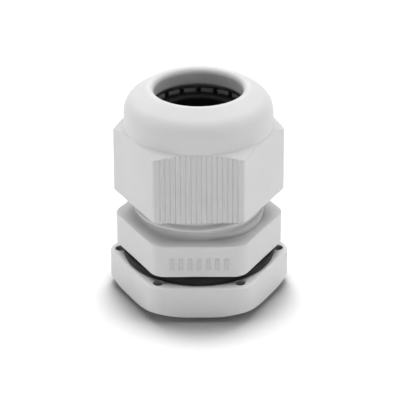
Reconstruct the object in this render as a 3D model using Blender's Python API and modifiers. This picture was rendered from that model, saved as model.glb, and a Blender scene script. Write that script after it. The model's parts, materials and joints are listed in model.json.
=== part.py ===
"""Nylon cable gland, M20 x 1.5: dome nut, clamping seal, body, gasket and lock nut.

The frame's origin is the centre of the entry thread's end face, +Z runs along the cable towards
the dome nut, and the front of the gland, the side with the relief mark, faces -Y.
"""

import math

import bmesh
import bpy
from mathutils import Matrix, Vector

MM = 0.001
GLAND = "cable_gland"

# Heights along the axis, in millimetres.
LOCK_NUT_BOTTOM, LOCK_NUT_TOP = 1.0, 6.5
GASKET_BOTTOM, GASKET_TOP = 6.64, 7.84
FLANGE_BOTTOM, FLANGE_TOP = 7.98, 13.49
THREAD_SHOULDER = 22.4
SEAL_LEDGE = 20.0
CLAW_TOP = 32.0
SEAL_TOP = 31.45
DOME_NUT_BOTTOM, HEX_TOP, DOME_TOP = 17.64, 29.49, 35.86

# Widths across flats and the radii of the hexagons' corners.
LOCK_NUT_FLATS, LOCK_NUT_CORNER = 26.4, 2.8
FLANGE_FLATS, FLANGE_CORNER = 24.3, 2.85
DOME_NUT_FLATS, DOME_NUT_CORNER = 24.0, 0.45

# Threads: pitch, outer radius and core radius of the male side, and the half width of its crest.
ENTRY_PITCH, ENTRY_RADIUS, ENTRY_CORE, ENTRY_CREST = 1.5, 9.92, 9.08, 0.10
CAP_PITCH, CAP_RADIUS, CAP_CORE, CAP_CREST = 1.75, 10.62, 9.85, 0.22
CAP_FRONT_HEIGHT = 15.5  # where the middle of the upper thread's crest passes the front
THREAD_CLEARANCE = 0.2  # between the male and the female thread, along the radius
FLANK = math.tan(math.radians(30))

# Bores and walls.
ENTRY_BORE, CLAW_BORE, CLAW_RADIUS = 7.0, 7.95, 9.25
SEAL_BORE, SEAL_RADIUS = 6.0, 7.8
GASKET_RADIUS, GASKET_BORE = 12.6, 10.25
CHAMBER_RADIUS, THROAT_BOTTOM_RADIUS, THROAT_RADIUS = 10.6, 7.37, 7.09
THROAT_BOTTOM, CONE_SLOPE = 32.91, math.radians(31.2)

# Repeated features.
CLAWS, SLOT_WIDTH, SLOT_BOTTOM = 18, 0.75, 23.6
RIBS, RIB_PITCH, RIB_DEPTH, RIB_TOP = 18, 0.80, 0.22, 28.9
PIT_CIRCLE, PIT_RADIUS, PIT_DEPTH = 13.1, 1.0, 1.6
MARK_BARS, MARK_WIDTH, MARK_HEIGHT, MARK_RELIEF = 7, 0.6, 2.1, 0.12
MARK_SPAN, MARK_LEVEL = 9.3, 10.35

ROUND_STEPS = 36
THREAD_STEPS = 24
STEP_SHIFT = 0.27  # keeps the threads' facets off the facets of their cores


def new_collection(name):
    collection = bpy.data.collections.new(name)
    bpy.context.scene.collection.children.link(collection)
    return collection


def new_material(name, colour, roughness):
    material = bpy.data.materials.new(name)
    material.use_nodes = True
    shader = material.node_tree.nodes["Principled BSDF"]
    shader.inputs["Base Color"].default_value = (*colour, 1.0)
    shader.inputs["Roughness"].default_value = roughness
    shader.inputs["Metallic"].default_value = 0.0
    material.diffuse_color = (*colour, 1.0)
    return material


def add_object(name, bm, collection):
    """Make an object from a bmesh given in millimetres."""
    bmesh.ops.scale(bm, vec=(MM, MM, MM), verts=bm.verts)
    mesh = bpy.data.meshes.new(name)
    bm.to_mesh(mesh)
    bm.free()
    obj = bpy.data.objects.new(name, mesh)
    collection.objects.link(obj)
    return obj


def as_cutter(obj):
    obj.hide_render = True
    obj.display_type = "WIRE"
    return obj


def combine(obj, other, operation):
    modifier = obj.modifiers.new(f"{operation.title()} {other.name}", "BOOLEAN")
    modifier.operation = operation
    modifier.solver = "EXACT"
    modifier.object = as_cutter(other)


def turned(name, profile, collection, closed=True):
    """Turn a profile of (radius, height) points about Z. It runs down the outer side."""
    bm = bmesh.new()
    verts = [bm.verts.new((radius, 0, height)) for radius, height in profile]
    for first, second in zip(verts, verts[1:]):
        bm.edges.new((first, second))
    if closed:
        bm.edges.new((verts[-1], verts[0]))
    obj = add_object(name, bm, collection)
    screw = obj.modifiers.new("Screw", "SCREW")
    screw.axis = "Z"
    screw.steps = ROUND_STEPS
    screw.render_steps = ROUND_STEPS
    screw.use_merge_vertices = True
    screw.merge_threshold = 1e-6
    return obj


def arc(centre, radius, start, end, steps):
    """Points on a circle arc in the profile plane, angles in degrees from +radius to +height."""
    for step in range(steps + 1):
        angle = math.radians(start + (end - start) * step / steps)
        yield centre[0] + radius * math.cos(angle), centre[1] + radius * math.sin(angle)


def hexagon(name, flats, corner, bottom, top, collection, edge=0.0, corner_steps=4):
    """A hexagonal prism with rounded corners and two flats square to Y."""
    sharp = flats / 2 / math.cos(math.radians(30))
    bm = bmesh.new()
    turn = Matrix.Rotation(math.radians(30), 4, "Z")
    bmesh.ops.create_cone(
        bm, cap_ends=True, segments=6, radius1=sharp, radius2=sharp, depth=top - bottom, matrix=turn
    )
    bmesh.ops.translate(bm, vec=(0, 0, (top + bottom) / 2), verts=bm.verts)
    upright = [e for e in bm.edges if abs(e.verts[0].co.z - e.verts[1].co.z) > 1e-3]
    bmesh.ops.bevel(
        bm,
        geom=upright,
        offset=corner * math.tan(math.radians(30)),
        offset_type="OFFSET",
        segments=corner_steps,
        profile=0.5,
        affect="EDGES",
        material=-1,
    )
    if edge:
        rim = [e for e in bm.edges if all(abs(v.co.z - top) < 1e-3 for v in e.verts)]
        bmesh.ops.bevel(
            bm,
            geom=rim,
            offset=edge,
            offset_type="OFFSET",
            segments=2,
            profile=0.5,
            affect="EDGES",
            material=-1,
        )
    return add_object(name, bm, collection)


def helix_ridge(name, thread, bottom, top, collection, ramp=0.0, grow=0.0, sink=0.4):
    """One thread ridge of trapezoid section, as a closed bar that sinks into its core.

    thread holds pitch, outer radius, core radius, half crest, and the crest's height at the front.
    ramp is the angle in degrees over which the ridge rises from the core at its lower end.
    """
    pitch, outer, core, crest, front = thread
    base = crest + (outer - core) * FLANK
    outer, core = outer + grow, core + grow
    start = (math.floor((bottom - front) / pitch * THREAD_STEPS) + STEP_SHIFT) / THREAD_STEPS
    steps = math.ceil(((top - front) / pitch - start) * THREAD_STEPS)
    section = (
        (core - sink, -base),
        (core, -base),
        (outer, -crest),
        (outer, crest),
        (core, base),
        (core - sink, base),
    )
    bm = bmesh.new()
    verts = [bm.verts.new((0, -radius, front + start * pitch + rise)) for radius, rise in section]
    ring = [bm.edges.new(pair) for pair in zip(verts, verts[1:] + verts[:1])]
    turn = Matrix.Rotation(start * math.tau, 3, "Z")
    bmesh.ops.rotate(bm, matrix=turn, verts=verts)
    bmesh.ops.spin(
        bm,
        geom=verts + ring,
        cent=(0, 0, 0),
        axis=(0, 0, 1),
        dvec=(0, 0, pitch / THREAD_STEPS),
        angle=math.tau * steps / THREAD_STEPS,
        steps=steps,
        use_merge=False,
        use_duplicate=False,
    )
    bmesh.ops.holes_fill(bm, edges=[e for e in bm.edges if e.is_boundary], sides=0)
    bmesh.ops.recalc_face_normals(bm, faces=bm.faces)
    if ramp:
        lift(bm, thread, start, ramp)
    return add_object(name, bm, collection)


def lift(bm, thread, start, ramp):
    """Let the ridge rise out of its core over the first ramp degrees."""
    pitch, _, core, _, front = thread
    for vert in bm.verts:
        angle = math.atan2(vert.co.x, -vert.co.y) / math.tau
        turns = angle + round((vert.co.z - front - angle * pitch) / pitch)
        share = min(1.0, max(0.0, (turns - start) * 360 / ramp))
        radius = math.hypot(vert.co.x, vert.co.y)
        if radius > core:
            wanted = core - 0.2 + (radius - core + 0.2) * math.sin(share * math.pi / 2)
            vert.co.x *= wanted / radius
            vert.co.y *= wanted / radius


def boxes(name, placed, collection):
    """Boxes in one mesh, each given by its size and the matrix that places it."""
    bm = bmesh.new()
    for size, matrix in placed:
        bmesh.ops.create_cube(bm, size=1, matrix=matrix @ Matrix.Diagonal((*size, 1)))
    return add_object(name, bm, collection)


def finish(obj, material):
    """Give the piece its material and smooth its round faces."""
    obj.data.materials.append(material)
    obj.data.shade_smooth()
    smooth = obj.modifiers.new("Weighted normals", "WEIGHTED_NORMAL")
    smooth.keep_sharp = True
    return obj


def lock_nut(parts, cutters):
    nut = hexagon(
        "lock_nut", LOCK_NUT_FLATS, LOCK_NUT_CORNER, LOCK_NUT_BOTTOM, LOCK_NUT_TOP, parts, edge=0.45
    )
    chamfer_start = 13.7
    outline = (
        (18.0, LOCK_NUT_TOP + 1),
        (18.0, LOCK_NUT_BOTTOM + (18.0 - chamfer_start) * FLANK),
        (chamfer_start, LOCK_NUT_BOTTOM),
        (chamfer_start - 0.5, LOCK_NUT_BOTTOM - 0.5 * FLANK),
    )
    axis_points = ((0.0, LOCK_NUT_TOP + 1), *outline, (0.0, LOCK_NUT_BOTTOM - 0.5 * FLANK))
    combine(nut, turned("lock_nut_outline", axis_points, cutters, closed=False), "INTERSECT")
    minor = ENTRY_CORE + THREAD_CLEARANCE
    bore = (
        (0.0, LOCK_NUT_TOP + 1),
        (minor + 1.8, LOCK_NUT_TOP + 1),
        (minor, LOCK_NUT_TOP - 0.8),
        (minor, LOCK_NUT_BOTTOM + 0.8),
        (minor + 1.8, LOCK_NUT_BOTTOM - 1),
        (0.0, LOCK_NUT_BOTTOM - 1),
    )
    combine(nut, turned("lock_nut_bore", bore, cutters, closed=False), "DIFFERENCE")
    thread = (ENTRY_PITCH, ENTRY_RADIUS, ENTRY_CORE, ENTRY_CREST, LOCK_NUT_BOTTOM)
    groove = helix_ridge(
        "lock_nut_thread",
        thread,
        LOCK_NUT_BOTTOM - 1.5,
        LOCK_NUT_TOP + 1.5,
        cutters,
        grow=THREAD_CLEARANCE,
    )
    combine(nut, groove, "DIFFERENCE")
    bm = bmesh.new()
    for corner in range(6):
        place = Matrix.Rotation(math.radians(60 * corner), 4, "Z")
        place @= Matrix.Translation((PIT_CIRCLE, 0, LOCK_NUT_TOP))
        bmesh.ops.create_cone(
            bm,
            cap_ends=True,
            segments=16,
            radius1=PIT_RADIUS,
            radius2=PIT_RADIUS,
            depth=2 * PIT_DEPTH,
            matrix=place,
        )
    combine(nut, add_object("lock_nut_pits", bm, cutters), "DIFFERENCE")
    return nut


def gasket(parts):
    middle = (GASKET_BOTTOM + GASKET_TOP) / 2
    profile = (
        (GASKET_BORE, GASKET_TOP),
        (GASKET_RADIUS - 0.12, GASKET_TOP),
        (GASKET_RADIUS, middle + 0.35),
        (GASKET_RADIUS, middle - 0.35),
        (GASKET_RADIUS - 0.12, GASKET_BOTTOM),
        (GASKET_BORE, GASKET_BOTTOM),
    )
    return turned("gasket", profile, parts)


def gland_body(parts, cutters):
    core = (
        (0.0, CLAW_TOP),
        (CLAW_BORE + 0.25, CLAW_TOP),
        (CLAW_RADIUS, CLAW_TOP - (CLAW_RADIUS - CLAW_BORE - 0.25) * math.tan(CONE_SLOPE)),
        (CLAW_RADIUS, THREAD_SHOULDER),
        (CAP_CORE, THREAD_SHOULDER),
        (CAP_CORE, FLANGE_TOP - 1),
        (ENTRY_CORE, FLANGE_BOTTOM + 1),
        (ENTRY_CORE, -1.0),
        (0.0, -1.0),
    )
    body = turned("gland_body", core, parts, closed=False)
    flange = hexagon(
        "flange", FLANGE_FLATS, FLANGE_CORNER, FLANGE_BOTTOM, FLANGE_TOP, cutters, edge=0.35
    )
    combine(body, flange, "UNION")
    cap_thread = (CAP_PITCH, CAP_RADIUS, CAP_CORE, CAP_CREST, CAP_FRONT_HEIGHT)
    upper = helix_ridge(
        "cap_thread", cap_thread, CAP_FRONT_HEIGHT - CAP_PITCH, THREAD_SHOULDER, cutters, ramp=60
    )
    combine(body, upper, "UNION")
    entry_thread = (ENTRY_PITCH, ENTRY_RADIUS, ENTRY_CORE, ENTRY_CREST, LOCK_NUT_BOTTOM)
    lower = helix_ridge("entry_thread", entry_thread, -1.5, FLANGE_BOTTOM - 0.5, cutters)
    combine(body, lower, "UNION")
    outline = (
        (0.0, CLAW_TOP + 1),
        (CLAW_RADIUS + 0.1, CLAW_TOP + 1),
        (CLAW_RADIUS + 0.1, THREAD_SHOULDER + 0.1),
        (CAP_RADIUS + 0.3, THREAD_SHOULDER - 1.2),
        (CAP_RADIUS + 0.3, FLANGE_TOP + 0.4),
        (20.0, FLANGE_TOP + 0.4),
        (20.0, FLANGE_BOTTOM - 0.3),
        (ENTRY_RADIUS + 0.1, FLANGE_BOTTOM - 0.3),
        (ENTRY_RADIUS + 0.1, 1.0),
        (ENTRY_CORE, 0.0),
        (0.0, 0.0),
    )
    combine(body, turned("body_outline", outline, cutters, closed=False), "INTERSECT")
    bore = (
        (0.0, CLAW_TOP + 2),
        (CLAW_BORE, CLAW_TOP + 2),
        (CLAW_BORE, SEAL_LEDGE),
        (ENTRY_BORE, SEAL_LEDGE),
        (ENTRY_BORE, 0.6),
        (ENTRY_BORE + 2.0, -1.4),
        (0.0, -1.4),
    )
    combine(body, turned("body_bore", bore, cutters, closed=False), "DIFFERENCE")
    slots = []
    for claw in range(CLAWS):
        place = Matrix.Rotation(math.radians(90 + 360 / CLAWS * claw), 4, "Z")
        place @= Matrix.Translation((8.5, 0, (SLOT_BOTTOM + CLAW_TOP + 2) / 2))
        slots.append(((4.0, SLOT_WIDTH, CLAW_TOP + 2 - SLOT_BOTTOM), place))
    combine(body, boxes("claw_slots", slots, cutters), "DIFFERENCE")
    bars = []
    for bar in range(MARK_BARS):
        side = (bar / (MARK_BARS - 1) - 0.5) * (MARK_SPAN - MARK_WIDTH)
        place = Matrix.Translation((side, -FLANGE_FLATS / 2 + 0.2, MARK_LEVEL))
        bars.append(((MARK_WIDTH, 2 * (0.2 + MARK_RELIEF), MARK_HEIGHT), place))
    combine(body, boxes("relief_mark", bars, cutters), "UNION")
    return body


def seal_insert(parts):
    profile = (
        (SEAL_BORE + 0.4, SEAL_TOP),
        (SEAL_RADIUS - 0.4, SEAL_TOP),
        (SEAL_RADIUS, SEAL_TOP - 0.4),
        (SEAL_RADIUS, SEAL_LEDGE + 0.9),
        (SEAL_RADIUS - 0.5, SEAL_LEDGE + 0.14),
        (SEAL_BORE + 0.4, SEAL_LEDGE + 0.14),
        (SEAL_BORE, SEAL_LEDGE + 0.6),
        (SEAL_BORE, SEAL_TOP - 0.5),
    )
    return turned("seal_insert", profile, parts)


def dome_nut(parts, cutters):
    nut = hexagon(
        "dome_nut",
        DOME_NUT_FLATS,
        DOME_NUT_CORNER,
        DOME_NUT_BOTTOM,
        DOME_TOP + 1,
        parts,
        corner_steps=2,
    )
    wall = DOME_NUT_FLATS / 2 - 0.05
    shoulder, lip = 3.47, 0.93
    lip_radius = THROAT_RADIUS + lip
    lip_height = DOME_TOP - lip
    tilt = 90 - math.degrees(CONE_SLOPE)
    outline = [(0.0, lip_height), (THROAT_RADIUS, lip_height)]
    outline += list(arc((lip_radius, lip_height), lip, 180, tilt, 6))[1:]
    outline += list(arc((wall - shoulder, HEX_TOP + 2.16), shoulder, tilt, 0, 5))
    outline += [
        (wall, HEX_TOP),
        (wall + 3.0, HEX_TOP - 3.0 * FLANK),
        (wall + 3.0, DOME_NUT_BOTTOM + (wall + 3.0 - 13.3) * FLANK),
        (13.3, DOME_NUT_BOTTOM),
        (12.8, DOME_NUT_BOTTOM - 0.5 * FLANK),
        (0.0, DOME_NUT_BOTTOM - 0.5 * FLANK),
    ]
    combine(nut, turned("dome_outline", outline, cutters, closed=False), "INTERSECT")
    minor = CAP_CORE + THREAD_CLEARANCE
    thread_top = 26.6
    chamber_top = THROAT_BOTTOM - (CHAMBER_RADIUS - THROAT_BOTTOM_RADIUS) * math.tan(CONE_SLOPE)
    inside = (
        (0.0, DOME_TOP + 1),
        (THROAT_RADIUS - 0.14, DOME_TOP + 1),
        (THROAT_RADIUS, lip_height),
        (THROAT_BOTTOM_RADIUS, THROAT_BOTTOM),
        (CHAMBER_RADIUS, chamber_top),
        (CHAMBER_RADIUS, thread_top),
        (minor, thread_top - 0.6),
        (minor, DOME_NUT_BOTTOM + 0.7),
        (minor + 1.6, DOME_NUT_BOTTOM - 0.9),
        (0.0, DOME_NUT_BOTTOM - 0.9),
    )
    combine(nut, turned("dome_inside", inside, cutters, closed=False), "DIFFERENCE")
    thread = (CAP_PITCH, CAP_RADIUS, CAP_CORE, CAP_CREST, CAP_FRONT_HEIGHT)
    groove = helix_ridge(
        "dome_nut_thread",
        thread,
        DOME_NUT_BOTTOM - 1.2,
        thread_top + 0.2,
        cutters,
        grow=THREAD_CLEARANCE,
    )
    combine(nut, groove, "DIFFERENCE")
    stand_off = 0.08
    side = (RIB_DEPTH + stand_off) * math.sqrt(2)
    length = RIB_TOP - DOME_NUT_BOTTOM + 1
    grooves = []
    for face in range(3):
        turn = Matrix.Rotation(math.radians(120 * face), 4, "Z")
        for groove_number in range(RIBS - 1):
            across = (groove_number - (RIBS - 2) / 2) * RIB_PITCH
            depth = -DOME_NUT_FLATS / 2 - stand_off
            place = turn @ Matrix.Translation((across, depth, RIB_TOP - length / 2))
            place @= Matrix.Rotation(math.radians(45), 4, "Z")
            grooves.append(((side, side, length), place))
    combine(nut, boxes("rib_grooves", grooves, cutters), "DIFFERENCE")
    return nut


def main():
    for obj in list(bpy.data.objects):
        bpy.data.objects.remove(obj, do_unlink=True)
    parts = new_collection(GLAND)
    cutters = new_collection("cutters")
    nylon = (0.62, 0.62, 0.62)
    rubber = (0.012, 0.012, 0.013)
    finish(dome_nut(parts, cutters), new_material("dome_nut_nylon", nylon, 0.42))
    finish(gland_body(parts, cutters), new_material("gland_body_nylon", nylon, 0.45))
    finish(lock_nut(parts, cutters), new_material("lock_nut_nylon", nylon, 0.42))
    finish(seal_insert(parts), new_material("seal_rubber", rubber, 0.6))
    finish(gasket(parts), new_material("gasket_rubber", rubber, 0.55))


main()
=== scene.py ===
import math

import bmesh
import bpy
from mathutils import Matrix, Vector
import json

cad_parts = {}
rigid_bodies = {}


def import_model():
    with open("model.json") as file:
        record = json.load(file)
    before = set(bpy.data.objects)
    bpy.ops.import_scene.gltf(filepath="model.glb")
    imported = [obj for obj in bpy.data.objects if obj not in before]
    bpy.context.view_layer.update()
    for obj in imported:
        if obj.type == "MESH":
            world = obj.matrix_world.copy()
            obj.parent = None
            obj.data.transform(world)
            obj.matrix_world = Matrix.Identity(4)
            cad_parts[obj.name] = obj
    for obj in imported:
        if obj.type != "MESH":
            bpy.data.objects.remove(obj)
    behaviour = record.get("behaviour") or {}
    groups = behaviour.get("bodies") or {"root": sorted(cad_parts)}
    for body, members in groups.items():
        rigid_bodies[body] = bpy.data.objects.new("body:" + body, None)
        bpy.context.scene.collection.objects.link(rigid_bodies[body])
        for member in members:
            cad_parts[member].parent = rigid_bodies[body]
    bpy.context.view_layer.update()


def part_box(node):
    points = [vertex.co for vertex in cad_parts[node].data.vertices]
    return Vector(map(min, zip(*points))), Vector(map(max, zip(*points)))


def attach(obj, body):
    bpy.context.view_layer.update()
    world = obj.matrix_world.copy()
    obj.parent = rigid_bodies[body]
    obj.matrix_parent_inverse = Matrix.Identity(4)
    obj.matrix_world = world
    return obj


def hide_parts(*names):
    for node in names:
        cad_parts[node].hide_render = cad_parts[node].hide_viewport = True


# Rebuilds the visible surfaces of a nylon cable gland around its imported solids.
# The pieces' dictionaries are in millimetres and degrees; the scene, its camera and its studio
# are in metres.

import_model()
mm = 0.001
slope30 = math.tan(math.radians(30))
sectors = 12  # a turned piece is spun over one sector and copied round
mergeGap = 1e-3
sharpAngle = 50
threadClearance = 0.2  # between a thread and the groove that it runs in
crestBlend = 0.16
rootBlend = 0.14
endBlend = 0.1
endless = -99  # the start, in turns, of a thread that begins far below its piece


def levels(node):
    low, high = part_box(node)
    return low.z / mm, high.z / mm


def softMin(first, second, blend):
    # the smaller of two lengths, with the corner between them rounded over blend
    near = max(blend - abs(first - second), 0.0) / blend
    return min(first, second) - near * near * blend / 4


def softMax(first, second, blend):
    return -softMin(-first, -second, blend)


def smoothRamp(value):
    value = min(1.0, max(0.0, value))
    return value * value * (3 - 2 * value)


def arcPoints(centreRadius, centreHeight, radius, start, end, count):
    for step in range(count + 1):
        angle = math.radians(start + (end - start) * step / count)
        yield centreRadius + radius * math.cos(angle), centreHeight + radius * math.sin(angle)


def spread(start, end, gap):
    # even heights from start to end, both included, no further apart than gap
    count = max(1, math.ceil(abs(end - start) / gap))
    return [start + (end - start) * step / count for step in range(count + 1)]


def hexRadius(angle, flats, corner, relief=None):
    # distance from the axis to a rounded hexagon whose flats face the front and the back
    apothem = flats / 2
    turned = math.degrees(angle) + 90
    face = round(turned / 60)
    off = math.radians(turned - 60 * face)
    slope = math.tan(off)
    sunk = relief(face % 6, slope) if relief else 0.0
    if abs(apothem * slope) <= (apothem - corner) * slope30:
        return (apothem - sunk) / math.cos(off)
    centre = (apothem - corner) / math.cos(math.radians(30))
    away = math.radians(30) - abs(off)
    rounded = math.sqrt(max(0.0, corner**2 - (centre * math.sin(away)) ** 2))
    return centre * math.cos(away) + rounded - sunk


def hexRing(flats, corner, inset, relief=None):
    # a station's radius function for the hexagon, drawn in by inset for a fillet or a chamfer
    def radius(angle):
        return hexRadius(angle, flats - 2 * inset, max(0.05, corner - inset), relief)
    return radius


def filletRings(flats, corner, height, fillet, rising, count, relief=None):
    # stations for the rounded rim of a hexagon, from its end face to its side, or back again
    rings = []
    for step in range(count + 1):
        angle = math.radians(90 * step / count)
        inset = fillet * (1 - math.sin(angle))
        drop = fillet * (1 - math.cos(angle))
        rings.append((hexRing(flats, corner, inset, relief), height + (drop if rising else -drop)))
    return rings if rising else rings[::-1]


def threadRadius(angle, height, thread, grow=0.0):
    # the radius of a right-handed thread at this angle and height
    turn = (math.degrees(angle) + 90) / 360
    along = (height - thread["frontHeight"]) / thread["pitch"] - turn
    nearest = round(along)
    away = abs(along - nearest) * thread["pitch"]
    depth = thread["outer"] - thread["core"]
    started = turn + nearest - thread["startTurn"]
    if along < nearest:  # a ridge grows out of the face below it before it lifts off
        away *= smoothRamp((started - thread["rooted"]) / thread["liftOff"])
    halfWidth = thread["crest"] + depth * slope30 - away
    rise = softMin(halfWidth, depth * slope30, crestBlend) / slope30
    rise = max(0.0, softMax(rise, 0.0, rootBlend))
    rise *= smoothRamp(started / thread["startRamp"])
    return thread["core"] + grow + min(rise, depth)


def grooveRadius(angle, height, thread, low, high):
    # a nut's inner wall: the grooves for a thread, opened out above high and below low
    grooved = threadRadius(angle, height, thread, threadClearance)
    ends = softMax(0.0, max(low - height, height - high), endBlend)
    return max(grooved, thread["core"] + threadClearance + ends)


def between(first, second, shares):
    # stations on the straight line from one station to another
    return [tuple(a + (b - a) * share for a, b in zip(first, second)) for share in shares]


def turnedPiece(name, stations, steps, regrade=None):
    # spins a closed ring of stations about the axis; each station has a height, and a radius that
    # may change with the angle, which is how flats, ribs and threads are raised on a turned shape
    sector = bmesh.new()
    stationLayer = sector.verts.layers.int.new("station")
    ring = []
    for index in range(len(stations)):
        # this first place only keeps the vertices apart until the spin is done
        vert = sector.verts.new((5 + 0.05 * index, 0, 0.05 * index))
        vert[stationLayer] = index
        ring.append(vert)
    edges = [sector.edges.new(pair) for pair in zip(ring, ring[1:] + ring[:1])]
    bmesh.ops.spin(
        sector, geom=ring + edges, cent=(0, 0, 0), axis=(0, 0, 1), angle=math.tau / sectors,
        steps=steps // sectors, use_merge=False, use_duplicate=False,
    )
    mesh = bpy.data.meshes.new(name)
    sector.to_mesh(mesh)
    sector.free()
    bm = bmesh.new()
    for _ in range(sectors):
        bmesh.ops.rotate(bm, matrix=Matrix.Rotation(math.tau / sectors, 3, "Z"), verts=bm.verts)
        bm.from_mesh(mesh)
    bpy.data.meshes.remove(mesh)
    bmesh.ops.remove_doubles(bm, verts=bm.verts, dist=mergeGap)
    stationLayer = bm.verts.layers.int["station"]
    for vert in bm.verts:
        angle = math.atan2(vert.co.y, vert.co.x)
        if regrade:
            angle = regrade(angle)
        radius, height = stations[vert[stationLayer]]
        if callable(radius):
            radius = radius(angle)
        vert.co = (radius * math.cos(angle), radius * math.sin(angle), height)
    bmesh.ops.recalc_face_normals(bm, faces=bm.faces)
    return meshPiece(name, bm)


def meshPiece(name, bm, sharpFrom=sharpAngle):
    # a finished piece sits at the origin, with its place in its mesh
    bmesh.ops.scale(bm, vec=(mm, mm, mm), verts=bm.verts)
    mesh = bpy.data.meshes.new(name)
    bm.to_mesh(mesh)
    bm.free()
    mesh.shade_smooth()
    mesh.set_sharp_from_angle(angle=math.radians(sharpFrom))
    piece = bpy.data.objects.new(name, mesh)
    bpy.context.scene.collection.objects.link(piece)
    return piece


def roundEdges(bm, edges, offset):
    bmesh.ops.bevel(
        bm, geom=edges, offset=offset, offset_type="OFFSET", segments=3, profile=0.5,
        affect="EDGES", material=-1,
    )


def cutWith(piece, cutter):
    # cuts one mesh out of another and keeps only the result
    modifier = piece.modifiers.new("cut", "BOOLEAN")
    modifier.operation = "DIFFERENCE"
    modifier.solver = "EXACT"
    modifier.object = cutter
    graph = bpy.context.evaluated_depsgraph_get()
    cut = bpy.data.meshes.new_from_object(piece.evaluated_get(graph))
    piece.modifiers.clear()
    piece.data = cut
    bpy.data.objects.remove(cutter, do_unlink=True)


def addNode(tree, kind, **settings):
    node = tree.nodes.new(kind)
    for key, value in settings.items():
        if hasattr(node, key):
            setattr(node, key, value)
        else:
            node.inputs[key].default_value = value
    return node


def objectCoords(tree):
    return addNode(tree, "ShaderNodeTexCoord").outputs["Object"]


def noiseField(tree, scale, detail, rough=0.5):
    noise = addNode(tree, "ShaderNodeTexNoise", Scale=scale, Detail=detail, Roughness=rough)
    tree.links.new(objectCoords(tree), noise.inputs["Vector"])
    return noise.outputs["Fac"]


def rangeOf(tree, value, low, high, fromLow=0.3, fromHigh=0.7):
    node = addNode(tree, "ShaderNodeMapRange")
    node.inputs["From Min"].default_value = fromLow
    node.inputs["From Max"].default_value = fromHigh
    node.inputs["To Min"].default_value = low
    node.inputs["To Max"].default_value = high
    tree.links.new(value, node.inputs["Value"])
    return node.outputs["Result"]


def mixColours(tree, factor, first, second):
    node = addNode(tree, "ShaderNodeMix", data_type="RGBA")
    colourInputs = [s for s in node.inputs if s.type == "RGBA"]
    for socket, colour in zip(colourInputs, (first, second)):
        if isinstance(colour, tuple):
            socket.default_value = (*colour, 1)
        else:
            tree.links.new(colour, socket)
    tree.links.new(factor, node.inputs["Factor"])
    return next(s for s in node.outputs if s.type == "RGBA")


def distanceWithin(tree, axes, near, far):
    # rises from 0 to 1 between two distances from the origin, measured along the axes given
    scaled = addNode(tree, "ShaderNodeVectorMath", operation="MULTIPLY")
    tree.links.new(objectCoords(tree), scaled.inputs[0])
    scaled.inputs[1].default_value = axes
    distance = addNode(tree, "ShaderNodeVectorMath", operation="LENGTH")
    tree.links.new(scaled.outputs["Vector"], distance.inputs[0])
    return rangeOf(tree, distance.outputs["Value"], 0, 1, near, far)


def bumpOver(tree, pattern, strength, depth, under=None):
    bump = addNode(tree, "ShaderNodeBump", Strength=strength, Distance=depth)
    tree.links.new(pattern, bump.inputs["Height"])
    if under:
        tree.links.new(under, bump.inputs["Normal"])
    return bump.outputs["Normal"]


# how sharply a surface has to bend to count as an edge or as a crease, and the depths of the bumps
surface = {
    "edgeBend": (0.52, 0.6),
    "creaseBend": (0.42, 0.485),
    "waveDepth": 0.02 * mm,
    "skinDepth": 0.01 * mm,
    "scatterRadius": (1.0, 0.95, 0.9),
    "scatterScale": 0.6 * mm,
}


def mouldedMaterial(name, finish, **changes):
    # satin moulded plastic or rubber: cloudy tone, worn edges, painted shade in creases and in
    # closed-in recesses, uneven gloss and a fine skin
    finish = {**finish, **changes}
    material = bpy.data.materials.new(name)
    material.use_nodes = True
    tree = material.node_tree
    shader = tree.nodes["Principled BSDF"]
    cloud = noiseField(tree, finish["cloudScale"], 3)
    tone = mixColours(tree, rangeOf(tree, cloud, 0, 1), finish["darkTone"], finish["lightTone"])
    bend = addNode(tree, "ShaderNodeNewGeometry").outputs["Pointiness"]
    edge = rangeOf(tree, bend, 0, finish["edgeWear"], *surface["edgeBend"])
    tone = mixColours(tree, edge, tone, finish["edgeTone"])
    # painted shade: concave creases, found by pointiness, are mixed towards the shade tone
    crease = rangeOf(tree, bend, finish["creaseShade"], 0, *surface["creaseBend"])
    tone = mixColours(tree, crease, tone, finish["paintedShadeTone"])
    # painted shade: recesses that ambient occlusion finds closed in are mixed towards the shade
    # tone
    hollow = addNode(tree, "ShaderNodeAmbientOcclusion", samples=6, Distance=finish["paintedShadeReach"])
    clear = rangeOf(tree, hollow.outputs["AO"], 0, 1, *finish["paintedShadeRange"])
    # the painted recess shade can be kept to the mouth
    if "mouthRadius" in finish:  # only the mouth darkens, not the ribs outside it
        outside = distanceWithin(tree, (1, 1, 0), *finish["mouthRadius"])
        widest = addNode(tree, "ShaderNodeMath", operation="MAXIMUM")
        tree.links.new(clear, widest.inputs[0])
        tree.links.new(outside, widest.inputs[1])
        clear = widest.outputs["Value"]
    tone = mixColours(tree, clear, finish["paintedShadeTone"], tone)
    tree.links.new(tone, shader.inputs["Base Color"])
    gloss = noiseField(tree, finish["glossScale"], 4)
    tree.links.new(rangeOf(tree, gloss, *finish["roughness"]), shader.inputs["Roughness"])
    wave = noiseField(tree, finish["waveScale"], 1)
    skin = noiseField(tree, finish["skinScale"], 5, rough=0.6)
    normal = bumpOver(tree, wave, finish["waveStrength"], surface["waveDepth"])
    normal = bumpOver(tree, skin, finish["skinStrength"], surface["skinDepth"], normal)
    tree.links.new(normal, shader.inputs["Normal"])
    shader.inputs["Specular IOR Level"].default_value = finish["specular"]
    shader.inputs["Subsurface Weight"].default_value = finish["subsurface"]
    shader.inputs["Subsurface Radius"].default_value = surface["scatterRadius"]
    shader.inputs["Subsurface Scale"].default_value = surface["scatterScale"]
    return material


def grey(tone):
    return (tone, tone, tone)


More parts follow.
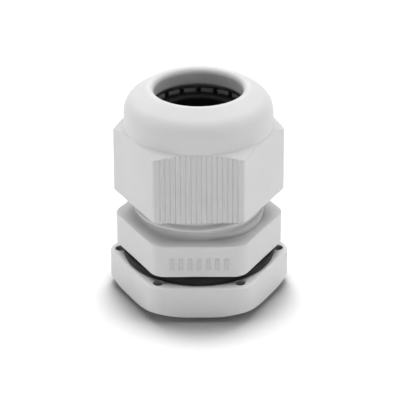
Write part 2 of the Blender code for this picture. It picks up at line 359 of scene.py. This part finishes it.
nylonFinish = {
    "darkTone": grey(0.55),
    "lightTone": grey(0.575),
    "edgeTone": grey(0.62),
    "edgeWear": 0.35,
    "creaseShade": 0.45,
    "paintedShadeTone": grey(0.25),
    "paintedShadeReach": 2.0 * mm,
    "paintedShadeRange": (0.15, 0.65),
    "cloudScale": 120,
    "glossScale": 400,
    "roughness": (0.46, 0.56),
    "skinScale": 3500,
    "skinStrength": 0.25,
    "waveScale": 260,
    "waveStrength": 0.35,
    "specular": 0.5,
    "subsurface": 0.12,
}
rubberFinish = {
    "darkTone": (0.006, 0.006, 0.0065),
    "lightTone": (0.010, 0.010, 0.0105),
    "edgeTone": (0.02, 0.02, 0.0205),
    "edgeWear": 0.5,
    "creaseShade": 0.3,
    "paintedShadeTone": grey(0.003),
    "paintedShadeReach": 2.0 * mm,
    "paintedShadeRange": (0.3, 0.8),
    "cloudScale": 200,
    "glossScale": 500,
    "roughness": (0.5, 0.65),
    "skinScale": 4200,
    "skinStrength": 0.5,
    "waveScale": 500,
    "waveStrength": 0.4,
    "specular": 0.16,
    "subsurface": 0.0,
}


def dress(piece, material, body, node=None):
    piece.data.materials.clear()
    piece.data.materials.append(material)
    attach(piece, body)
    if node:
        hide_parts(node)


camera = {
    "aim": Vector((0, 0, 13.0)) * mm,
    "distance": 256.31 * mm,
    "elevation": 28.39,
    "lens": 140.19,
    "shiftX": 0.0026,
    "shiftY": 0.0336,
    "roll": 0.235,
    "sensor": 36,
    "clip": (0.01, 5),
}


def makeCamera():
    data = bpy.data.cameras.new("productCamera")
    data.lens = camera["lens"]
    data.sensor_width = camera["sensor"]
    data.shift_x = camera["shiftX"]
    data.shift_y = camera["shiftY"]
    data.clip_start, data.clip_end = camera["clip"]
    lens = bpy.data.objects.new("productCamera", data)
    tilt = math.radians(camera["elevation"])
    back = Vector((0, -math.cos(tilt), math.sin(tilt)))
    lens.location = camera["aim"] + back * camera["distance"]
    facing = (-back).to_track_quat("-Z", "Y").to_matrix().to_4x4()
    roll = Matrix.Rotation(math.radians(-camera["roll"]), 4, "Z")
    lens.rotation_euler = (facing @ roll).to_euler()
    bpy.context.scene.collection.objects.link(lens)
    bpy.context.scene.camera = lens


makeCamera()
print("camera in place")


capThread = {
    "pitch": 1.75,
    "outer": 10.62,
    "core": 9.85,
    "crest": 0.22,
    "frontHeight": 15.5,
    "startTurn": -0.985,
    "startRamp": 0.11,
    "rooted": 0.14,
    "liftOff": 0.12,
}
domeNut = {
    "steps": 828,
    "threadSteps": 240,
    "flats": 24.0,
    "corner": 1.2,
    "draft": 0.15,
    "rimFillet": 0.22,
    "startChamfer": 13.5,
    "hexTop": 29.49,
    "wall": 11.95,
    "shoulder": 3.47,
    "shoulderRise": 2.16,
    "lip": 0.93,
    "throat": 7.09,
    "throatBottom": (7.37, 32.91),
    "cone": 31.2,
    "chamber": 10.6,
    "threadWall": 10.85,
    "threadTop": 26.6,
    "ribPitch": 0.8033,
    "ribDepth": 0.23,
    "ribCount": 18,
    "ribMargin": 0.35,
    "ribPower": 0.6,
    # painted shade: a slightly darker copy of the nylon, full crease shade in the rib grooves, and
    # recess shade kept to the mouth
    "finish": {
        "darkTone": grey(0.54),
        "lightTone": grey(0.565),
        "creaseShade": 1.0,
        "mouthRadius": (8.3 * mm, 9.3 * mm),
    },
}


def ribRelief(face, slope):
    # grooves between the ribs on every other flat
    if face % 2:
        return 0.0
    d = domeNut
    across = slope * d["flats"] / 2
    if abs(across) > d["ribCount"] / 2 * d["ribPitch"] - d["ribMargin"]:
        return 0.0
    wave = 0.5 + 0.5 * math.cos(math.tau * across / d["ribPitch"])
    return d["ribDepth"] * wave ** d["ribPower"]


def evenAcross(angle):
    # moves the spun columns so that they stand at even steps across each flat, eight to a rib
    turned = math.degrees(angle) + 90
    face = round(turned / 60)
    off = turned - 60 * face
    return math.radians(60 * face - 90) + math.atan(off / 30 * slope30)


def domeNutStations():
    d = domeNut
    bottom, top = levels("dome_nut")
    stations = [(d["threadWall"] + 0.4, bottom)]
    foot = d["flats"] + 2 * d["draft"]
    stations += filletRings(foot, d["corner"], bottom, d["rimFillet"], True, 4, ribRelief)

    def hexWall(height):
        grow = d["draft"] * max(0.0, d["hexTop"] - height) / (d["hexTop"] - bottom)
        side = hexRing(d["flats"] + 2 * grow, d["corner"], 0.0, ribRelief)
        cone = d["wall"] + (d["hexTop"] - height) / slope30
        start = d["startChamfer"] + (height - bottom) / slope30
        return lambda angle: softMin(softMin(side(angle), cone, 0.3), start, 0.25)

    heights = spread(bottom + 0.3, bottom + 0.8, 0.1) + spread(bottom + 1.5, d["hexTop"] - 2.0, 1.2)
    heights += spread(d["hexTop"] - 1.8, d["hexTop"] - 0.02, 0.07)
    stations += [(hexWall(height), height) for height in heights]
    wall, shoulder = d["wall"], d["shoulder"]
    stations += [(wall, d["hexTop"] + 0.08)]
    stations += [(wall, height) for height in spread(d["hexTop"] + 0.3, d["hexTop"] + 2.0, 0.6)]
    tilt = 90 - d["cone"]
    stations += list(
        arcPoints(wall - shoulder, d["hexTop"] + d["shoulderRise"], shoulder, 0, tilt, 14)
    )
    lipHeight = top - d["lip"]
    lipCentre = d["throat"] + d["lip"]
    innerTop = list(arcPoints(lipCentre, lipHeight, d["lip"], tilt, 180, 14))
    stations += between(stations[-1], innerTop[0], (0.25, 0.5, 0.75))
    stations += innerTop
    edgeRadius, edgeHeight = d["throatBottom"]
    throatTop = (d["throat"], lipHeight)
    stations += between(throatTop, d["throatBottom"], (0.2, 0.4, 0.6, 0.8, 0.94))
    coneDrop = math.tan(math.radians(d["cone"]))
    stations += [(edgeRadius + 0.08, edgeHeight - 0.02)]
    chamberTop = edgeHeight - (d["chamber"] - edgeRadius) * coneDrop
    stations += [(d["chamber"] - 0.3, chamberTop + 0.3 * coneDrop)]
    stations += [(d["chamber"], chamberTop - 0.3), (d["chamber"], d["threadTop"] + 0.5)]
    stations += [(d["threadWall"], d["threadTop"] + 0.25)]
    stations += [(d["threadWall"], bottom + 0.4), (d["threadWall"] - 0.1, bottom)]
    return stations


def domeThreadStations():
    # the threaded inner wall, sunk into the shell
    d = domeNut
    bottom = levels("dome_nut")[0]
    thread = dict(capThread, startTurn=endless)

    def innerThread(height):
        return lambda angle: grooveRadius(angle, height, thread, bottom + 0.7, d["threadTop"] - 0.6)

    outer = d["threadWall"] + 0.2
    stations = [(outer, bottom + 0.05), (outer, d["threadTop"])]
    heights = spread(d["threadTop"] - 0.05, bottom + 0.05, 0.1)
    stations += [(innerThread(height), height) for height in heights]
    return stations


def makeDomeNut():
    d = domeNut
    nylon = mouldedMaterial("domeNutNylon", nylonFinish, **d["finish"])
    piece = turnedPiece("domeNutShell", domeNutStations(), d["steps"], evenAcross)
    dress(piece, nylon, "cap", "dome_nut")
    thread = turnedPiece("domeNutThread", domeThreadStations(), d["threadSteps"])
    dress(thread, nylon, "cap")
    print("dome nut:", len(piece.data.polygons), "faces,", len(thread.data.polygons), "in the wall")


makeDomeNut()


entryThread = {
    "pitch": 1.5,
    "outer": 9.92,
    "core": 9.08,
    "crest": 0.10,
    "frontHeight": 1.0,
    "startTurn": endless,
    "startRamp": 0.1,
    "rooted": 0,
    "liftOff": 0.12,
}
glandBody = {
    "steps": 288,
    "entryStep": 0.094,
    "upperStep": 0.085,
    "flats": 24.3,
    "corner": 2.85,
    "flangeBottom": 7.98,
    "flangeTop": 13.49,
    "flangeFillet": 0.2,
    "threadEnd": 22.4,
    "ledge": 20.0,
    "collar": (9.22, 23.3),
    "clawBore": 7.95,
    "bore": 7.0,
}
claw = {
    "count": 18,
    "slot": 0.75,
    "outer": 9.2,
    "middle": 8.6,
    "inner": 7.97,
    "tip": 0.25,
    "bottom": 22.9,
    "round": 0.16,
    "sharpAngle": 60,
    # painted shade: the claws' recesses in the mouth are mixed almost black, far deeper than on the
    # other nylon
    "finish": {"paintedShadeTone": grey(0.06), "paintedShadeRange": (0.3, 1.1), "paintedShadeReach": 3.5 * mm},
}
sizeMark = {
    "bars": 7,
    "width": 0.6,
    "height": 2.1,
    "span": 9.3,
    "level": 10.35,
    "relief": 0.14,
    "round": 0.1,
    "sharpAngle": 60,
    # painted shade: the bars are a darker copy of the same nylon, standing in for the shading on
    # their sides
    "finish": {"darkTone": grey(0.46), "lightTone": grey(0.49), "edgeTone": grey(0.52)},
}


def glandBodyStations():
    g = glandBody
    low = levels("gland_body")[0]
    entryCore, capCore = entryThread["core"], capThread["core"]
    flangeBottom, flangeTop, fillet = g["flangeBottom"], g["flangeTop"], g["flangeFillet"]

    def limited(height, thread, low, high):
        return lambda angle: max(low, min(threadRadius(angle, height, thread), high))

    def entry(height):
        # chamfered at its end and run out under the flange
        chamfer = entryCore + max(0.0, height - low)
        runOut = entryCore + max(0.0, (flangeBottom - 0.45 - height) * 1.2)
        return limited(height, entryThread, entryCore - 0.1, min(chamfer, runOut))

    def upper(height):
        # run out under the claws, with a small foot on the flange
        runOut = capCore + max(0.0, (g["threadEnd"] - height) * 1.1)
        return limited(height, capThread, capCore + 0.1 - (height - flangeTop), runOut)

    stations = [(g["bore"] + 0.6, low), (entryCore - 0.1, low)]
    heights = spread(low + 0.03, flangeBottom - 0.3, g["entryStep"])
    stations += [(entry(height), height) for height in heights]
    stations += [(entryCore, flangeBottom - 0.15), (entryCore + 0.15, flangeBottom)]
    stations += [(10.5, flangeBottom)]
    stations += filletRings(g["flats"], g["corner"], flangeBottom, fillet, True, 5)
    straight = hexRing(g["flats"], g["corner"], 0.0)
    heights = spread(flangeBottom + fillet + 0.2, flangeTop - fillet - 0.2, 1.2)
    stations += [(straight, height) for height in heights]
    stations += filletRings(g["flats"], g["corner"], flangeTop, fillet, False, 6)
    stations += [(11.4, flangeTop), (10.9, flangeTop)]
    heights = spread(flangeTop, g["threadEnd"], g["upperStep"])
    stations += [(upper(height), height) for height in heights]
    collarRadius, collarTop = g["collar"]
    stations += [(collarRadius, g["threadEnd"] + 0.1), (collarRadius, collarTop)]
    stations += [(g["clawBore"], collarTop), (g["clawBore"], g["ledge"])]
    stations += [(g["bore"], g["ledge"]), (g["bore"], low + 0.6)]
    return stations


def addClaws(bm, high):
    # springy claws: one is spun from its section, rounded and copied round the collar
    coneDrop = math.tan(math.radians(domeNut["cone"]))
    halfTurn = math.pi / claw["count"] - claw["slot"] / 2 / claw["middle"]
    section = (
        (claw["inner"], claw["bottom"]),
        (claw["outer"], claw["bottom"]),
        (claw["outer"], high - (claw["outer"] - claw["inner"] - claw["tip"]) * coneDrop),
        (claw["inner"] + claw["tip"], high),
        (claw["inner"], high),
    )
    one = bmesh.new()
    ring = [one.verts.new((radius, 0, height)) for radius, height in section]
    edges = [one.edges.new(pair) for pair in zip(ring, ring[1:] + ring[:1])]
    bmesh.ops.rotate(one, matrix=Matrix.Rotation(-halfTurn, 3, "Z"), verts=ring)
    bmesh.ops.spin(
        one, geom=ring + edges, cent=(0, 0, 0), axis=(0, 0, 1), angle=2 * halfTurn, steps=6,
        use_merge=False, use_duplicate=False,
    )
    bmesh.ops.holes_fill(one, edges=[e for e in one.edges if e.is_boundary], sides=0)
    bmesh.ops.recalc_face_normals(one, faces=one.faces)
    sharp = [e for e in one.edges if e.calc_face_angle(0) > math.radians(25)]
    roundEdges(one, sharp, claw["round"])
    mesh = bpy.data.meshes.new("clawShape")
    one.to_mesh(mesh)
    one.free()
    for index in range(claw["count"]):
        before = set(bm.verts)
        bm.from_mesh(mesh)
        added = [v for v in bm.verts if v not in before]
        turn = math.radians(90 + 360 / claw["count"] * (index + 0.5))
        bmesh.ops.rotate(bm, matrix=Matrix.Rotation(turn, 3, "Z"), verts=added)
    bpy.data.meshes.remove(mesh)


def addSizeMark(bm):
    # plain raised bars where a maker would put a size
    m = sizeMark
    for index in range(m["bars"]):
        side = (index / (m["bars"] - 1) - 0.5) * (m["span"] - m["width"])
        place = Matrix.Translation((side, -glandBody["flats"] / 2, m["level"]))
        place @= Matrix.Diagonal((m["width"], 2 * m["relief"], m["height"], 1))
        made = bmesh.ops.create_cube(bm, size=1, matrix=place)
        roundEdges(bm, list({e for v in made["verts"] for e in v.link_edges}), m["round"])


def makeGlandBody():
    nylon = mouldedMaterial("glandBodyNylon", nylonFinish)
    body = turnedPiece("glandBodyMoulding", glandBodyStations(), glandBody["steps"])
    dress(body, nylon, "body", "gland_body")
    bm = bmesh.new()
    addClaws(bm, levels("gland_body")[1])
    claws = meshPiece("clampingClaws", bm, claw["sharpAngle"])
    # the claws get their own nylon copy with the deeper painted shade
    shaded = mouldedMaterial("clawNylon", nylonFinish, **claw["finish"])
    dress(claws, shaded, "body")
    bm = bmesh.new()
    addSizeMark(bm)
    mark = meshPiece("flangeRelief", bm, sizeMark["sharpAngle"])
    # the bars use the darker nylon copy as painted shade
    reliefShadeNylon = mouldedMaterial("reliefPaintedShadeNylon", nylonFinish, **sizeMark["finish"])
    dress(mark, reliefShadeNylon, "body")
    print("gland body:", len(body.data.polygons), "faces,", len(claws.data.polygons), "in claws")


makeGlandBody()


lockNut = {
    "steps": 360,
    "threadStep": 0.094,
    "flats": 26.4,
    "corner": 3.15,
    "fillet": 0.45,
    "rim": 0.2,
    "chamferStart": 13.45,
    "pitCircle": 13.1,
    "pitRadius": 0.86,
    "pitDepth": 1.1,
    "pitTaper": 0.06,
    # painted light: a lighter copy of the same nylon, standing in for floor bounce that reaches the
    # nut too weakly
    "finish": {"darkTone": grey(0.585), "lightTone": grey(0.61), "edgeTone": grey(0.65)},
}


def lockNutStations():
    n = lockNut
    bottom, top = levels("lock_nut")
    minor = entryThread["core"] + threadClearance

    def side(height, inset):
        hexagon = hexRing(n["flats"], n["corner"], inset)
        cone = n["chamferStart"] - inset + (height - bottom) / slope30
        return lambda angle: softMin(hexagon(angle), cone, 0.25)

    stations = [(minor + 0.8, bottom), (minor + 1.6, bottom)]
    for step in range(5):
        angle = math.radians(90 * step / 4)
        height = bottom + n["rim"] * (1 - math.cos(angle))
        stations.append((side(height, n["rim"] * (1 - math.sin(angle))), height))
    stations += [(side(height, 0), height) for height in spread(bottom + 0.26, bottom + 1.1, 0.07)]
    straight = hexRing(n["flats"], n["corner"], 0.0)
    heights = spread(bottom + 1.5, top - n["fillet"] - 0.2, 1.2)
    stations += [(straight, height) for height in heights]
    stations += filletRings(n["flats"], n["corner"], top, n["fillet"], False, 6)
    stations += [(minor + 1.3, top), (minor + 0.8, top)]

    def innerThread(height):
        return lambda angle: grooveRadius(angle, height, entryThread, bottom + 0.8, top - 0.8)

    heights = spread(top - 0.05, bottom + 0.05, n["threadStep"])
    stations += [(innerThread(height), height) for height in heights]
    return stations


def makeLockNut():
    n = lockNut
    piece = turnedPiece("lockNutRing", lockNutStations(), n["steps"])
    bm = bmesh.new()
    for corner in range(6):
        place = Matrix.Rotation(math.radians(60 * corner), 4, "Z")
        place @= Matrix.Translation((n["pitCircle"], 0, levels("lock_nut")[1]))
        bmesh.ops.create_cone(
            bm, cap_ends=True, segments=40, radius1=n["pitRadius"] * (1 - n["pitTaper"]),
            radius2=n["pitRadius"] * (1 + n["pitTaper"]), depth=2 * n["pitDepth"], matrix=place,
        )
    cutWith(piece, meshPiece("pits", bm))
    piece.data.set_sharp_from_angle(angle=math.radians(sharpAngle))
    nylon = mouldedMaterial("lockNutNylon", nylonFinish, **n["finish"])
    dress(piece, nylon, "nut", "lock_nut")
    print("lock nut:", len(piece.data.polygons), "faces")


makeLockNut()


ringSteps = 240
gasketRing = {"radius": 12.59, "bore": 10.25, "round": 0.3}
sealSleeve = {
    "outer": 7.8,
    "bore": 6.0,
    "topRound": 0.6,
    "waist": 0.12,
    "grooves": 3,
    "firstGroove": 2.2,
    "grooveGap": 2.4,
    "grooveDepth": 0.3,
}


def makeGasket():
    bottom, top = levels("gasket")
    g = gasketRing
    middle, half = (bottom + top) / 2, (top - bottom) / 2
    stations = [(g["bore"] + 0.1, bottom), (g["radius"] - 1.0, bottom)]
    for step in range(13):  # the rounded outer edge
        angle = math.radians(-90 + 180 * step / 12)
        height = math.copysign(abs(math.sin(angle)) ** 0.8, math.sin(angle))
        radius = g["radius"] - g["round"] * (1 - math.cos(angle) ** 0.6)
        stations.append((radius, middle + half * height))
    stations += [(g["radius"] - 1.0, top), (g["bore"] + 0.1, top), (g["bore"], top - 0.1)]
    stations += [(g["bore"], bottom + 0.1)]
    piece = turnedPiece("gasketRing", stations, ringSteps)
    rubber = mouldedMaterial("gasketRubber", rubberFinish)
    dress(piece, rubber, "washer", "gasket")


def makeSeal():
    bottom, top = levels("seal_insert")
    s = sealSleeve
    stations = [(s["outer"] - 0.5, bottom), (s["outer"], bottom + 0.7)]
    for groove in range(s["grooves"]):
        level = bottom + s["firstGroove"] + s["grooveGap"] * groove
        sunk = s["outer"] - s["grooveDepth"]
        stations += [(s["outer"], level), (sunk, level + 0.3)]
        stations += [(sunk, level + 0.9), (s["outer"], level + 1.2)]
    stations += list(arcPoints(s["outer"] - 0.3, top - 0.3, 0.3, 0, 90, 5))
    lip = s["topRound"]
    stations += list(arcPoints(s["bore"] + lip, top - lip, lip, 90, 180, 8))
    for height in spread(top - 1.2, bottom + 1.0, 1.0):
        share = (height - bottom) / (top - bottom)
        stations.append((s["bore"] + s["waist"] * (1 - math.sin(math.pi * share)), height))
    stations += [(s["bore"] + 0.5, bottom)]
    piece = turnedPiece("sealSleeve", stations, ringSteps)
    rubber = mouldedMaterial("sealRubber", rubberFinish)
    dress(piece, rubber, "seal", "seal_insert")


makeGasket()
makeSeal()
print("gasket and seal made")


studio = {
    "floorSize": 3.0,
    "floorTone": grey(0.95),
    # the painted shadow on the floor: how far it reaches, its lean towards the back and its tones
    "paintedShadowReach": 13.0 * mm,
    "paintedShadowLean": 25,
    "paintedShadowTones": (
        (0.2, 0.60), (0.38, 0.30), (0.5, 0.37), (0.6, 0.56),
        (0.67, 0.76), (0.75, 0.9), (0.86, 0.97), (1.0, 1.0),
    ),
    "boxDistance": 0.5,
    "gain": 1.3,
    "boxCentre": 0.015,
    "glowRange": (0.2, 0.55),
}
# each softbox: turn from the front towards the right, height angle, side in metres, watts
softboxes = {
    "overhead": (0, 90, 0.5, 1.71),
    "lowFrontRight": (45, 12, 0.4, 0.46),
    "lowFrontLeft": (315, 12, 0.4, 0.48),
    "lowRight": (90, 12, 0.4, 0.25),
    "lowLeft": (270, 12, 0.4, 0.35),
    "highRight": (90, 45, 0.4, 0.24),
    "highBackRight": (135, 45, 0.4, 0.66),
    "highBack": (180, 45, 0.4, 0.49),
    "highBackLeft": (225, 45, 0.4, 0.76),
}


def makeFloor():
    # pale paper with a painted shadow, darker where the object closes it in, and glowing far away
    # so that it never ends
    bm = bmesh.new()
    bmesh.ops.create_grid(bm, x_segments=1, y_segments=1, size=studio["floorSize"] / 2)
    mesh = bpy.data.meshes.new("floor")
    bm.to_mesh(mesh)
    bm.free()
    floor = bpy.data.objects.new("floor", mesh)
    bpy.context.scene.collection.objects.link(floor)
    material = bpy.data.materials.new("floorPaper")
    material.use_nodes = True
    tree = material.node_tree
    shader = tree.nodes["Principled BSDF"]
    # painted shadow: ambient occlusion, leaning towards the back, sets the floor's colour through
    # the ramp
    reach = studio["paintedShadowReach"]
    occlusion = addNode(tree, "ShaderNodeAmbientOcclusion", samples=12, Distance=reach)
    lean = math.radians(studio["paintedShadowLean"])
    leaning = addNode(tree, "ShaderNodeCombineXYZ", Y=math.sin(lean), Z=math.cos(lean))
    tree.links.new(leaning.outputs["Vector"], occlusion.inputs["Normal"])
    ramp = addNode(tree, "ShaderNodeValToRGB")
    stops = ramp.color_ramp.elements
    for index, (place, share) in enumerate(studio["paintedShadowTones"]):
        stop = stops[index] if index < 2 else stops.new(place)
        stop.position = place
        stop.color = [tone * share for tone in studio["floorTone"]] + [1]
    tree.links.new(occlusion.outputs["AO"], ramp.inputs["Fac"])
    tree.links.new(ramp.outputs["Color"], shader.inputs["Base Color"])
    glow = distanceWithin(tree, (1, 1, 1), *studio["glowRange"])
    tree.links.new(glow, shader.inputs["Emission Strength"])
    shader.inputs["Emission Color"].default_value = (1, 1, 1, 1)
    shader.inputs["Roughness"].default_value = 0.9
    shader.inputs["Specular IOR Level"].default_value = 0.1
    mesh.materials.append(material)


def makeWorld():
    # a white backdrop that only the camera sees
    world = bpy.data.worlds.new("studioWorld")
    bpy.context.scene.world = world
    world.use_nodes = True
    background = world.node_tree.nodes["Background"]
    background.inputs["Color"].default_value = (1, 1, 1, 1)
    background.inputs["Strength"].default_value = 1.0
    for ray in ("diffuse", "glossy", "transmission", "scatter"):
        setattr(world.cycles_visibility, ray, False)


def makeLights():
    for name, (turn, rise, side, power) in softboxes.items():
        data = bpy.data.lights.new(name, "AREA")
        data.shape = "SQUARE"
        data.size = side
        data.energy = power * studio["gain"]
        rise = math.radians(rise)
        away = Matrix.Rotation(math.radians(turn), 3, "Z") @ Vector((0, -math.cos(rise), 0))
        away += Vector((0, 0, math.sin(rise)))
        light = bpy.data.objects.new(name, data)
        light.location = away * studio["boxDistance"] + Vector((0, 0, studio["boxCentre"]))
        light.rotation_euler = (-away).to_track_quat("-Z", "Y").to_euler()
        bpy.context.scene.collection.objects.link(light)


makeFloor()
makeWorld()
makeLights()
bpy.context.scene.view_settings.view_transform = "Standard"
bpy.context.scene.view_settings.look = "None"
print("studio ready")
